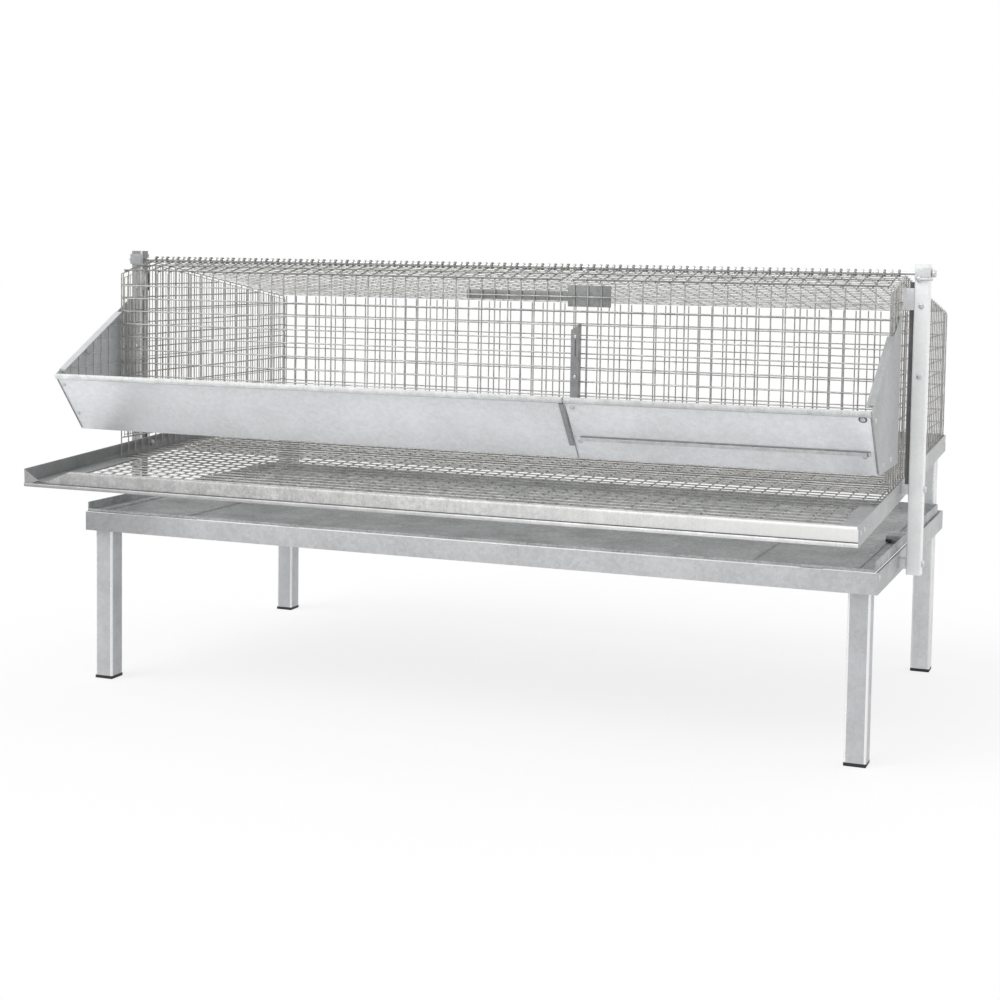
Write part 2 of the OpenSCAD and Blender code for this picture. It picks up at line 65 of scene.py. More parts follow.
bpy.ops.object.select_all(action="DESELECT")

# Camera: stands to the right of the middle, a little above the cage, and looks in at the troughs.
# The lens and the small downward shift are those of the photograph's square frame.
yaw, pitch, roll = (math.radians(angle) for angle in (21.25, 3.979, 0.867))
camera_place = (0.9724, -2.5456, 0.6691)
film_width = 36
focal_length = 64.46
lens_shift = -0.126
farthest_view = 60
ahead = Vector((-math.sin(yaw) * math.cos(pitch), math.cos(yaw) * math.cos(pitch), -math.sin(pitch)))
level = Vector((math.cos(yaw), math.sin(yaw), 0))
above = level.cross(ahead)
side = level * math.cos(roll) + above * math.sin(roll)
top = above * math.cos(roll) - level * math.sin(roll)
turn = Matrix((side, top, -ahead)).transposed().to_4x4()
camera = bpy.data.objects.new("camera", bpy.data.cameras.new("camera"))
bpy.context.collection.objects.link(camera)
camera.matrix_world = Matrix.Translation(camera_place) @ turn
camera.data.sensor_width = film_width
camera.data.lens = focal_length
camera.data.shift_y = lens_shift
camera.data.clip_end = farthest_view
bpy.context.scene.camera = camera
bpy.context.scene.view_settings.view_transform = "Standard"

# Studio: a white room, seen as white by the camera and by the metal, with softer light on everything else.
# Two broad suns: the key high in front on the left, and a weaker one high behind on the right.
white = (1, 1, 1, 1)
room_light = 0.60
room_share = 1.0


def white_for_the_camera(tree, plain, share):
    path = tree.nodes.new("ShaderNodeLightPath")
    total = path.outputs["Is Camera Ray"]
    for ray in ("Is Glossy Ray", "Is Transmission Ray"):
        either = tree.nodes.new("ShaderNodeMath")
        either.operation = "MAXIMUM"
        tree.links.new(total, either.inputs[0])
        tree.links.new(path.outputs[ray], either.inputs[1])
        total = either.outputs[0]
    part = tree.nodes.new("ShaderNodeMath")
    part.operation = "MULTIPLY"
    tree.links.new(total, part.inputs[0])
    part.inputs[1].default_value = share
    glow = tree.nodes.new("ShaderNodeEmission")
    glow.inputs["Color"].default_value = white
    glow.inputs["Strength"].default_value = 1
    mix = tree.nodes.new("ShaderNodeMixShader")
    tree.links.new(part.outputs[0], mix.inputs[0])
    tree.links.new(plain, mix.inputs[1])
    tree.links.new(glow.outputs[0], mix.inputs[2])
    return mix.outputs[0]


world = bpy.data.worlds.new("studio")
bpy.context.scene.world = world
world.use_nodes = True
room = world.node_tree
room.nodes.clear()
dim = room.nodes.new("ShaderNodeBackground")
dim.inputs["Color"].default_value = white
dim.inputs["Strength"].default_value = room_light
sky = room.nodes.new("ShaderNodeOutputWorld")
room.links.new(white_for_the_camera(room, dim.outputs[0], room_share), sky.inputs["Surface"])
for name, towards, spread, strength in (
    ("key", (-0.42, -0.52, 0.74), 50, 1.55),
    ("back", (0.30, 0.50, 0.81), 60, 0.50),
):
    sun = bpy.data.objects.new(name, bpy.data.lights.new(name, "SUN"))
    bpy.context.collection.objects.link(sun)
    sun.data.angle = math.radians(spread)
    sun.data.energy = strength
    sun.rotation_euler = (-Vector(towards)).to_track_quat("-Z", "Y").to_euler()

# Studio floor: a wide matt plane of pale paint that runs into the white room.
# The camera sees most of it as plain white, and it keeps only the soft shadow of the cage.
floor_size = 40
floor_paint = (0.94, 0.94, 0.94, 1)
floor_rough = 0.9
floor_shine = 0.1
floor_share = 0.80
bpy.ops.mesh.primitive_plane_add(size=floor_size)
floor = bpy.context.object
floor.name = "floor"
floor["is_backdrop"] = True
pale = bpy.data.materials.new("studio_floor")
pale.use_nodes = True
ground = pale.node_tree
matt = ground.nodes["Principled BSDF"]
matt.inputs["Base Color"].default_value = floor_paint
matt.inputs["Roughness"].default_value = floor_rough
matt.inputs["Specular IOR Level"].default_value = floor_shine
paled = white_for_the_camera(ground, matt.outputs[0], floor_share)
ground.links.new(paled, ground.nodes["Material Output"].inputs["Surface"])
floor.data.materials.append(pale)

# Legs: four square steel tubes, galvanised and cut square. The longer rear pair carries the egg floor too.
# The zinc gives every sheet and tube soft grey clouds, a faint spangle and a fine grain, and some a few runs.
# On the rounded corners of the tubes a brighter zinc is laid on as a painted highlight.
tube_wall = 0.0015
leg_corner = 0.0030
corner_steps = 5
facing = 0.9
corner_turn = 0.1
clouds_weight = 0.62
grain_weight = 0.38
clouds_detail = 4
grain_detail = 2
noise_rough = 0.6
runs_pull = (150, 30, 9)
ramp_ends = (0.36, 0.64)
gloss_ends = (0.3, 0.7)
dull_extra = 0.10
gloss_extra = 0.08
lump_depth = 0.0005


def galvanised(name, tone, spread, cloud=14, spangle=190, grain=900, streak=0.0, flake=0.10, rough=0.42,
               metal=0.35, lumps=0.16, fade=None, calm=None):
    zinc = bpy.data.materials.new(name)
    zinc.use_nodes = True
    tree = zinc.node_tree
    link = tree.links.new
    shader = tree.nodes["Principled BSDF"]
    shader.inputs["Metallic"].default_value = metal
    where = tree.nodes.new("ShaderNodeTexCoord").outputs["Object"]

    def noise(scale, detail, stretch=None):
        texture = tree.nodes.new("ShaderNodeTexNoise")
        texture.inputs["Scale"].default_value = scale
        texture.inputs["Detail"].default_value = detail
        texture.inputs["Roughness"].default_value = noise_rough
        if stretch:
            pull = tree.nodes.new("ShaderNodeMapping")
            pull.inputs["Scale"].default_value = stretch
            link(where, pull.inputs["Vector"])
            link(pull.outputs["Vector"], texture.inputs["Vector"])
        else:
            link(where, texture.inputs["Vector"])
        return texture.outputs["Fac"]

    def along_the_piece(limits):
        along = tree.nodes.new("ShaderNodeSeparateXYZ")
        link(where, along.inputs["Vector"])
        share = tree.nodes.new("ShaderNodeMapRange")
        for socket, value in zip(("From Min", "From Max", "To Min", "To Max"), limits):
            share.inputs[socket].default_value = value
        link(along.outputs["X"], share.inputs["Value"])
        return share.outputs["Result"]

    flakes = tree.nodes.new("ShaderNodeTexVoronoi")
    flakes.inputs["Scale"].default_value = spangle
    link(where, flakes.inputs["Vector"])
    facet = tree.nodes.new("ShaderNodeSeparateColor")
    link(flakes.outputs["Color"], facet.inputs["Color"])
    layers = [(noise(cloud, clouds_detail), clouds_weight - streak - flake), (facet.outputs["Red"], flake),
              (noise(grain, grain_detail), grain_weight)]
    if streak:
        layers.append((noise(1, clouds_detail, runs_pull), streak))
    total = None
    for layer, weight in layers:
        added = tree.nodes.new("ShaderNodeMath")
        added.operation = "MULTIPLY_ADD"
        link(layer, added.inputs[0])
        added.inputs[1].default_value = weight
        if total is None:
            added.inputs[2].default_value = 0
        else:
            link(total, added.inputs[2])
        total = added.outputs[0]
    ramp = tree.nodes.new("ShaderNodeValToRGB")
    for element, place, share in zip(ramp.color_ramp.elements, ramp_ends, (1 - spread, 1 + spread)):
        element.position = place
        element.color = (*(min(1, c * share) for c in tone), 1)
    link(total, ramp.inputs["Fac"])
    colour = ramp.outputs["Color"]
    if calm:
        even = tree.nodes.new("ShaderNodeMix")
        even.data_type = "RGBA"
        link(along_the_piece(calm), even.inputs["Factor"])
        link(colour, even.inputs["A"])
        even.inputs["B"].default_value = (*tone, 1)
        colour = even.outputs["Result"]
    if fade:
        scale = tree.nodes.new("ShaderNodeVectorMath")
        scale.operation = "SCALE"
        link(colour, scale.inputs[0])
        link(along_the_piece(fade), scale.inputs["Scale"])
        colour = scale.outputs[0]
    link(colour, shader.inputs["Base Color"])
    gloss = tree.nodes.new("ShaderNodeMapRange")
    gloss.inputs["From Min"].default_value = gloss_ends[0]
    gloss.inputs["From Max"].default_value = gloss_ends[1]
    gloss.inputs["To Min"].default_value = rough + dull_extra
    gloss.inputs["To Max"].default_value = rough - gloss_extra
    link(total, gloss.inputs["Value"])
    link(gloss.outputs["Result"], shader.inputs["Roughness"])
    bump = tree.nodes.new("ShaderNodeBump")
    bump.inputs["Strength"].default_value = lumps
    bump.inputs["Distance"].default_value = lump_depth
    link(total, bump.inputs["Height"])
    link(bump.outputs["Normal"], shader.inputs["Normal"])
    return zinc


def pick_up(piece):
    bpy.ops.object.select_all(action="DESELECT")
    piece.select_set(True)
    bpy.context.view_layer.objects.active = piece


def finish_piece(piece, material, body, *stands_for, slot="galvanised_sheet", smooth=35):
    pick_up(piece)
    bpy.ops.object.shade_smooth_by_angle(angle=math.radians(smooth))
    piece.data.materials.clear()
    piece.data.materials.append(material)
    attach(piece, body)
    if stands_for:
        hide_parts(*stands_for)
    piece.select_set(False)
    return piece


def choose(piece, kind, test):
    bpy.ops.mesh.select_mode(type=kind)
    bpy.ops.mesh.select_all(action="DESELECT")
    shape = bmesh.from_edit_mesh(piece.data)
    for part in list(shape.faces if kind == "FACE" else shape.edges if kind == "EDGE" else shape.verts):
        if test(part):
            part.select_set(True)
    shape.select_flush_mode()
    bmesh.update_edit_mesh(piece.data)


def rounded(piece, kind, test, width, steps):
    bpy.ops.object.mode_set(mode="EDIT")
    choose(piece, kind, test)
    bpy.ops.mesh.bevel(offset=width, segments=steps, affect="EDGES")
    bpy.ops.object.mode_set(mode="OBJECT")


# Painted highlight: faces whose normal passes the test get the bright zinc as a second material.
def paint_highlight(piece, test):
    piece.data.materials.append(painted_highlight_zinc)
    for face in piece.data.polygons:
        if test(face.normal):
            face.material_index = 1


def block(name, low, high):
    low, high = Vector(low), Vector(high)
    bpy.ops.object.select_all(action="DESELECT")
    bpy.ops.mesh.primitive_cube_add(size=1, location=(low + high) / 2, scale=high - low)
    bpy.ops.object.transform_apply(location=True, rotation=True, scale=True)
    bpy.context.object.name = name
    return bpy.context.object


def apply_modifiers(piece):
    for modifier in list(piece.modifiers):
        bpy.ops.object.modifier_apply(modifier=modifier.name)


def square_tube(node, corner, material):
    tube = block(node + "_tube", *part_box(node))
    bpy.ops.object.mode_set(mode="EDIT")
    choose(tube, "FACE", lambda f: abs(f.normal.z) > facing)
    bpy.ops.mesh.delete(type="ONLY_FACE")
    bpy.ops.object.mode_set(mode="OBJECT")
    rounded(tube, "EDGE", lambda e: abs((e.verts[0].co - e.verts[1].co).normalized().z) > facing,
            corner, corner_steps)
    skin = tube.modifiers.new("wall", "SOLIDIFY")
    skin.thickness = tube_wall
    skin.offset = -1
    apply_modifiers(tube)
    finish_piece(tube, material, body_of[node], node, smooth=30)
    paint_highlight(tube, lambda normal: min(abs(normal.x), abs(normal.y)) > corner_turn)


painted_highlight_zinc = galvanised("painted_highlight_zinc", (0.92, 0.925, 0.93), 0.03, cloud=40, rough=0.30, lumps=0.02)
tube_zinc = galvanised("tube_zinc", (0.51, 0.52, 0.535), 0.11, cloud=26)
# The rear legs are painted lighter than the front ones. This painted light makes up for the shade of the
# litter tray above them, and their colour also falls off towards the left.
rear_tube_painted_light_zinc = galvanised("rear_tube_painted_light_zinc", (0.80, 0.81, 0.825), 0.10, cloud=26,
                            fade=(-0.60, 0.60, 0.60, 1.0))
for node in ("leg_front_left", "leg_front_right", "leg_rear_left", "leg_rear_right"):
    square_tube(node, leg_corner, rear_tube_painted_light_zinc if "rear" in node else tube_zinc)

# Foot caps: black polyethylene plugs pressed on the ends of the legs, with a moulded edge radius.
# A stem on each one sits inside the tube. The plastic has a fine pebbled skin.
cap_edge = 0.0010
weld = 0.000005
flat_turn = math.radians(1)
sharp_turn = math.radians(40)
pebble_scale = 1400
pebble_detail = 3
cap_dark = (0.008, 0.008, 0.009, 1)
cap_pale = (0.024, 0.024, 0.026, 1)
cap_rough = 0.55
pebble_strength = 0.2
pebble_depth = 0.0003


def softened(node, width, material, steps=2, slot="galvanised_sheet"):
    piece = bpy.data.objects.new(node + "_piece", nodes[node].data.copy())
    bpy.context.collection.objects.link(piece)
    pick_up(piece)
    bpy.ops.object.mode_set(mode="EDIT")
    bpy.ops.mesh.select_all(action="SELECT")
    bpy.ops.mesh.remove_doubles(threshold=weld)
    bpy.ops.mesh.dissolve_limited(angle_limit=flat_turn)
    bpy.ops.object.mode_set(mode="OBJECT")
    edge = piece.modifiers.new("edge", "BEVEL")
    edge.limit_method = "ANGLE"
    edge.angle_limit = sharp_turn
    edge.width = width
    edge.segments = steps
    apply_modifiers(piece)
    return finish_piece(piece, material, body_of[node], node, slot=slot)


cap_black = bpy.data.materials.new("cap_black")
cap_black.use_nodes = True
plastic = cap_black.node_tree
coat = plastic.nodes["Principled BSDF"]
spot = plastic.nodes.new("ShaderNodeTexCoord")
pebble = plastic.nodes.new("ShaderNodeTexNoise")
pebble.inputs["Scale"].default_value = pebble_scale
pebble.inputs["Detail"].default_value = pebble_detail
plastic.links.new(spot.outputs["Object"], pebble.inputs["Vector"])
shade = plastic.nodes.new("ShaderNodeValToRGB")
shade.color_ramp.elements[0].color = cap_dark
shade.color_ramp.elements[1].color = cap_pale
plastic.links.new(pebble.outputs["Fac"], shade.inputs["Fac"])
plastic.links.new(shade.outputs["Color"], coat.inputs["Base Color"])
coat.inputs["Roughness"].default_value = cap_rough
dimple = plastic.nodes.new("ShaderNodeBump")
dimple.inputs["Strength"].default_value = pebble_strength
dimple.inputs["Distance"].default_value = pebble_depth
plastic.links.new(pebble.outputs["Fac"], dimple.inputs["Height"])
plastic.links.new(dimple.outputs["Normal"], coat.inputs["Normal"])
softened("foot_caps", cap_edge, cap_black, slot="foot_plastic")

# Stand rails: angles folded from galvanised sheet, laid on the front legs and screwed to the rear ones.
# The front and rear ones show a coarser bloom of zinc than the tubes do, and their upward-facing rounded
# edges carry a painted highlight in brighter zinc.
# The two runners that carry the litter tray are angles of the same sheet.
rail_edge = 0.0007
upward = 0.3
flat_face = 0.96
rail_zinc = galvanised("rail_zinc", (0.57, 0.575, 0.585), 0.11, cloud=11, grain=520, flake=0.16,
                       fade=(-0.600, -0.400, 0.56, 1.0))
side_zinc = galvanised("side_zinc", (0.43, 0.435, 0.44), 0.13, cloud=16, grain=700,
                       fade=(-0.60, 0.60, 0.74, 1.06))
for node, zinc in (("stand_front_rail", rail_zinc), ("stand_rear_rail", rail_zinc),
                   ("stand_left_rail", side_zinc), ("stand_right_rail", side_zinc),
                   ("litter_runners", side_zinc)):
    rail = softened(node, rail_edge, zinc)
    paint_highlight(rail, lambda normal: normal.z > upward and max(abs(part) for part in normal) < flat_face)

# Rail liners: thin strips of sheet with a rounded top edge, laid inside the web of each side rail. They close
# the slit under the edge of the litter tray, and their near-black colour is painted shade, the shadow line in
# that slit.
liner_faces = (0.5990, 0.6004)
liner_front = 0.0022
liner_back = 0.035
liner_depth = 0.0085
liner_show = 0.0003
liner_edge = 0.0004
hands = {"left": -1, "right": 1}
# Near-black zinc for painted shade: the shadow lines in slits, gaps and grooves. The washer on the right
# trough uses it too.
dark_and_painted_shade_zinc = galvanised("dark_and_painted_shade_zinc", (0.13, 0.132, 0.135), 0.25, cloud=30, grain=600, rough=0.5)
stand_low, stand_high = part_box("stand_right_rail")
for hand, sign in hands.items():
    faces = sorted(sign * face for face in liner_faces)
    liner = block("rail_shade_liner_" + hand, (faces[0], stand_low[1] + liner_front, stand_high[2] - liner_depth),
                  (faces[1], stand_high[1] - liner_back, stand_high[2] + liner_show))
    rounded(liner, "EDGE", lambda e: all(v.co.z > stand_high[2] for v in e.verts), liner_edge, steps=2)
    finish_piece(liner, dark_and_painted_shade_zinc, "cage")

# Screws of the stand: domed zinc-plated heads at the front ends of the side rails and at the rear legs.
# One head is turned as a pan and set again wherever a screw or a rivet shows.
screw_head = (0.0035, 0.0018)
head_sides = 18
head_dome = 0.92


def head(name, radius, rise):
    bpy.ops.object.select_all(action="DESELECT")
    bpy.ops.mesh.primitive_cylinder_add(vertices=head_sides, radius=radius, depth=rise,
                                        location=(0, 0, rise / 2))
    bpy.ops.object.transform_apply(location=True, rotation=True, scale=True)
    pan = bpy.context.object
    pan.name = name
    rounded(pan, "FACE", lambda f: f.normal.z > facing, rise * head_dome, steps=4)
    return pan


def join_pieces(pieces):
    bpy.ops.object.select_all(action="DESELECT")
    for piece in pieces:
        piece.select_set(True)
    bpy.context.view_layer.objects.active = pieces[0]
    if len(pieces) > 1:
        bpy.ops.object.join()
    return pieces[0]


def set_heads(name, size, spots, material, body, *stands_for):
    pan = head(name, *size)
    copies = []
    for place, out in spots:
        lean = Vector(out).to_track_quat("Z", "X").to_matrix().to_4x4()
        copy = bpy.data.objects.new(name, pan.data.copy())
        copy.data.transform(Matrix.Translation(place) @ lean)
        bpy.context.collection.objects.link(copy)
        copies.append(copy)
    bpy.data.objects.remove(pan)
    joined = join_pieces(copies)
    joined.name = name
    finish_piece(joined, material, body, *stands_for, smooth=60)


def solids_of(node):
    shape = bmesh.new()
    shape.from_mesh(nodes[node].data)
    bmesh.ops.remove_doubles(shape, verts=shape.verts, dist=weld)
    found = []
    left = set(shape.verts)
    while left:
        group, queue = set(), [left.pop()]
        while queue:
            corner = queue.pop()
            group.add(corner)
            for edge in corner.link_edges:
                other = edge.other_vert(corner)
                if other in left:
                    left.discard(other)
                    queue.append(other)
        places = [corner.co for corner in group]
        found.append((Vector([min(p[i] for p in places) for i in range(3)]),
                      Vector([max(p[i] for p in places) for i in range(3)])))
    shape.free()
    return sorted(found, key=lambda solid: tuple(solid[0]))


def outside_spots(node):
    spots = []
    for low, high in solids_of(node):
        right = low.x > 0
        spots.append(((low.x if right else high.x, (low.y + high.y) / 2, (low.z + high.z) / 2),
                      (1 if right else -1, 0, 0)))
    return spots


stud_zinc = galvanised("stud_zinc", (0.62, 0.63, 0.64), 0.14, cloud=120, grain=2400, metal=0.7, rough=0.30)
set_heads("stand_screw_heads", screw_head, outside_spots("stand_screws"), stud_zinc, "cage", "stand_screws")

# Litter tray: one flat sheet folded up at the sides and back, with a low front hem, dull and clouded by use.
# Two pressed ribs run from front to back on either side, and a bent clip sits at the right wall.
sheet_edge = 0.0005
tray_sheet = 0.0015
outer_rib = (0.572, 0.0045, 0.0030)
inner_rib = (0.432, 0.0040, 0.0022)
rib_front = 0.004
rib_back = 0.002
rib_round = 0.95
rib_turn = 0.001
tray_zinc = galvanised("tray_zinc", (0.40, 0.415, 0.42), 0.30, cloud=17, grain=240, streak=0.06, rough=0.5,
                       metal=0.3)
softened("litter_tray", sheet_edge, tray_zinc)
tray_low, tray_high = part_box("litter_tray")
rib_z = tray_low[2] + tray_sheet
for rib_name, sign, (rib_x, half, rise) in (
    ("outer_left", -1, outer_rib),
    ("inner_left", -1, inner_rib),
    ("inner_right", 1, inner_rib),
    ("outer_right", 1, outer_rib),
):
    rib = block("tray_rib_" + rib_name, (sign * rib_x - half, tray_low[1] + rib_front, rib_z),
                (sign * rib_x + half, tray_high[1] - rib_back, rib_z + rise))
    rounded(rib, "EDGE", lambda e: all(v.co.z > rib_z + rise / 2 for v in e.verts)
            and abs(e.verts[0].co.x - e.verts[1].co.x) < rib_turn, rise * rib_round, steps=4)
    finish_piece(rib, tray_zinc, "litter_tray")

clip_x = (0.5745, 0.5972)
clip_y = (-0.0050, 0.0400)
clip_down = (0.0060, 0.0005)
clip_tongue = (-0.0012, 0, -0.0040)
clip_edge = 0.0006


def pull_out(piece, test, step):
    bpy.ops.object.mode_set(mode="EDIT")
    choose(piece, "FACE", test)
    bpy.ops.mesh.extrude_region_move(TRANSFORM_OT_translate={"value": step})
    bpy.ops.object.mode_set(mode="OBJECT")


clip = block("tray_stop_clip", (clip_x[0], clip_y[0], tray_high[2] - clip_down[0]),
             (clip_x[1], clip_y[1], tray_high[2] - clip_down[1]))
pull_out(clip, lambda f: f.normal.x < -facing, clip_tongue)
rounded(clip, "EDGE", lambda e: True, clip_edge, steps=2)
finish_piece(clip, tray_zinc, "litter_tray")

# Floor rails: angles of galvanised sheet on a slope, so that the eggs roll to the front.
# The right and left ones carry rivets, and all of them carry the floor mesh on their flanges.
floor_slope = math.radians(2.9)
rivet_head = (0.0034, 0.0016)
added_rivet_y = (-0.354, 0.154)
added_rivet_rise = 0.0150
for node in ("floor_left_rail", "floor_right_rail", "floor_rear_rail"):
    softened(node, sheet_edge, side_zinc)
rail_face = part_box("floor_right_rail")[1][0]
lip_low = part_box("egg_lip")[0]
rivet_spots = outside_spots("floor_rivets")
for y in added_rivet_y:
    z = lip_low[2] + (y - lip_low[1]) * math.tan(floor_slope) + added_rivet_rise
    for sign in (1, -1):
        rivet_spots.append(((sign * rail_face, y, z), (sign, 0, 0)))
set_heads("floor_rivet_heads", rivet_head, rivet_spots, stud_zinc, "cage", "floor_rivets")

# Egg lip: the front of the floor, one sheet rolled over at the top, with a doubled hem along its foot.
# Its left corner is mitred where the side rail runs past it, and a small gusset closes the rail there.
lip_setback = 0.0013
lip_ends = (-0.6019, 0.6019)
lip_sheet = 0.0012
lip_profile = [(0.0245, 0.0008), (0.0040, 0.0008), (0.0026, 0.0011), (0.0020, 0.0024), (0.0019, 0.0120),
               (0.0019, 0.0208), (0.0023, 0.0233), (0.0036, 0.0247), (0.0053, 0.0247), (0.0066, 0.0236),
               (0.0069, 0.0215)]
hem_sheet = 0.0010
hem_profile = [(0.0080, 0.0006), (0.0012, 0.0006), (0.0003, 0.0012), (0.0001, 0.0024), (0.0002, 0.0044),
               (0.0009, 0.0050)]
# A thin dark strip at the top edge of the hem is a painted shadow line under the rolled lip.
lip_shadow_sheet = 0.0004
lip_shadow_profile = [(0.0014, 0.0050), (0.0006, 0.0054), (0.0008, 0.0062), (0.0014, 0.0066)]
lip_foot = (lip_low[1] + lip_setback, lip_low[2])
mitre_place = (-0.577, lip_foot[0], lip_foot[1] + 0.003)
mitre_away = (-0.40, 0, 0.92)
gusset_low = (-0.6014, lip_foot[0] + 0.0002, lip_foot[1] + 0.0012)
gusset_high = (-0.5775, lip_foot[0] + 0.0014, lip_foot[1] + 0.0248)
gusset_point = (-0.5775, 0, lip_foot[1] + 0.0100)
gusset_slopes = ((0.53, 0, 0.85), (0.34, 0, -0.94))


def folded_strip(name, ends, profile, thick):
    (from_x, to_x), (first_y, first_z) = ends, profile[0]
    half = 0.5
    bpy.ops.object.select_all(action="DESELECT")
    bpy.ops.mesh.primitive_plane_add(size=2 * half, location=((from_x + to_x) / 2, first_y + half, first_z))
    strip = bpy.context.object
    strip.name = name
    strip.scale = (to_x - from_x, 1, 1)
    bpy.ops.object.transform_apply(location=True, rotation=True, scale=True)
    bpy.ops.object.mode_set(mode="EDIT")
    choose(strip, "VERT", lambda v: v.co.y > first_y + half)
    bpy.ops.mesh.delete(type="VERT")
    bpy.ops.mesh.select_mode(type="EDGE")
    bpy.ops.mesh.select_all(action="SELECT")
    for (y, z), (next_y, next_z) in zip(profile, profile[1:]):
        bpy.ops.mesh.extrude_region_move(TRANSFORM_OT_translate={"value": (0, next_y - y, next_z - z)})
    bpy.ops.object.mode_set(mode="OBJECT")
    skin = strip.modifiers.new("sheet", "SOLIDIFY")
    skin.thickness = thick
    skin.offset = 0
    skin.use_even_offset = True
    apply_modifiers(strip)
    return strip


def on_slope(points):
    lean = [(s * math.cos(floor_slope) - h * math.sin(floor_slope),
             s * math.sin(floor_slope) + h * math.cos(floor_slope)) for s, h in points]
    return [(lip_foot[0] + s, lip_foot[1] + h) for s, h in lean]


def cut_off(place, away):
    bpy.ops.object.mode_set(mode="EDIT")
    bpy.ops.mesh.select_all(action="SELECT")
    bpy.ops.mesh.bisect(plane_co=place, plane_no=away, use_fill=True, clear_outer=True)
    bpy.ops.object.mode_set(mode="OBJECT")


lip_zinc = galvanised("lip_zinc", (0.56, 0.56, 0.555), 0.27, cloud=34, grain=420, streak=0.22, rough=0.48,
                      metal=0.3, fade=(-0.60, 0.60, 0.69, 1.36), calm=(-0.05, 0.50, 0.0, 0.85))
hem_zinc = galvanised("hem_zinc", (0.50, 0.50, 0.50), 0.14, cloud=40, grain=600,
                      fade=(-0.60, 0.50, 0.70, 1.45))
lip = folded_strip("egg_lip_sheet", lip_ends, on_slope(lip_profile), lip_sheet)
cut_off(mitre_place, mitre_away)
finish_piece(lip, lip_zinc, "cage", "egg_lip", smooth=50)
hem = folded_strip("egg_lip_hem", lip_ends, on_slope(hem_profile), hem_sheet)
finish_piece(hem, hem_zinc, "cage", smooth=50)
lip_shadow = folded_strip("egg_lip_shadow", lip_ends, on_slope(lip_shadow_profile), lip_shadow_sheet)
finish_piece(lip_shadow, dark_and_painted_shade_zinc, "cage")
gusset = block("egg_lip_gusset", gusset_low, gusset_high)
for away in gusset_slopes:
    cut_off(gusset_point, away)
finish_piece(gusset, side_zinc, "cage")

# Cover strips: flat galvanised sheet laid over the edge of the floor mesh beside each rail.
# They lie in front of the cage, and their rear edge is turned down a little.
cover_faces = (0.5620, 0.6002)
cover_profile = [(0.0090, 0.0064), (0.2330, 0.0064), (0.2340, 0.0056)]
cover_sheet = 0.0010
for hand, sign in hands.items():
    ends = sorted(sign * face for face in cover_faces)
    cover = folded_strip("floor_cover_" + hand, ends, on_slope(cover_profile), cover_sheet)
    finish_piece(cover, side_zinc, "cage")

# Floor mesh: welded 2 mm wire, galvanised after welding, lying on the flanges.
# The wire is a warmer and rougher grey than the sheet.
drawn = {"cloud": 45, "spangle": 320, "grain": 1600, "metal": 0.5}
wire = galvanised("wire", (0.45, 0.445, 0.43), 0.36, rough=0.38, **drawn)


def paint(node, material):
    nodes[node].data.materials.clear()
    nodes[node].data.materials.append(material)


paint("floor_mesh", wire)

# Floor shade underlay: finer, dark wires close together under the back of the floor mesh, where the birds
# stand. Their dark colour and density are painted shade, standing in for the shaded inside of the cage seen
# through the mesh.
# They run from side to side, tied to the wires above, with a few wires along them underneath.
liner_r = 0.0006
wire_sides = 6
wire_end_inset = 0.4
underlay_half = 0.572
cross_first, cross_pitch, cross_count = -0.0200, 0.0088, 42
along_first, along_pitch, along_count = -0.560, 0.140, 9
along_ends = (-0.0215, 0.3423)
square_up = Vector((0, -math.sin(floor_slope), math.cos(floor_slope)))
under_side = min(square_up.dot(v.co) for v in nodes["floor_mesh"].data.vertices)


def thin_wire(name, low, high):
    low, high = Vector(low), Vector(high)
    run = high - low
    bpy.ops.object.select_all(action="DESELECT")
    bpy.ops.mesh.primitive_cylinder_add(vertices=wire_sides, radius=liner_r, depth=run.length,
                                        location=(low + high) / 2,
                                        rotation=run.to_track_quat("Z", "Y").to_euler())
    bpy.ops.object.transform_apply(location=True, rotation=True, scale=True)
    bar = bpy.context.object
    bar.name = name
    bpy.ops.object.mode_set(mode="EDIT")
    choose(bar, "FACE", lambda f: len(f.verts) == wire_sides)
    bpy.ops.mesh.inset(thickness=liner_r * wire_end_inset)
    bpy.ops.object.mode_set(mode="OBJECT")
    return bar


def below_floor(x, y, depth):
    return (x, y, (under_side - depth + y * math.sin(floor_slope)) / math.cos(floor_slope))


shade_underlay_wire = galvanised("shade_underlay_wire", (0.28, 0.268, 0.25), 0.34, **drawn)
underlay = []
for i in range(cross_count):
    y = cross_first + i * cross_pitch
    ends = [below_floor(x, y, liner_r) for x in (-underlay_half, underlay_half)]
    underlay.append(thin_wire("floor_shade_underlay", *ends))
for i in range(along_count):
    x = along_first + i * along_pitch
    ends = [below_floor(x, y, 3 * liner_r) for y in along_ends]
    underlay.append(thin_wire("floor_shade_underlay", *ends))
finish_piece(join_pieces(underlay), shade_underlay_wire, "cage", slot="mesh_wire")

# Uprights: thin square tubes outside the rails, bolted through spacers to the stand and to the floor.
# A band folded round the top of each clamps the hinge rod, and the right one is closed by a pin and a bolt.
# Strips beside the uprights clamp the edge of the end mesh. Their dark colour is painted shade, the shadow in
# the gap beside each upright.
post_corner = 0.0020
small_edge = 0.0003
post_head = (0.0040, 0.0020)
post_rivet_z = (0.6007, 0.5045)
to_front = (0, -1, 0)
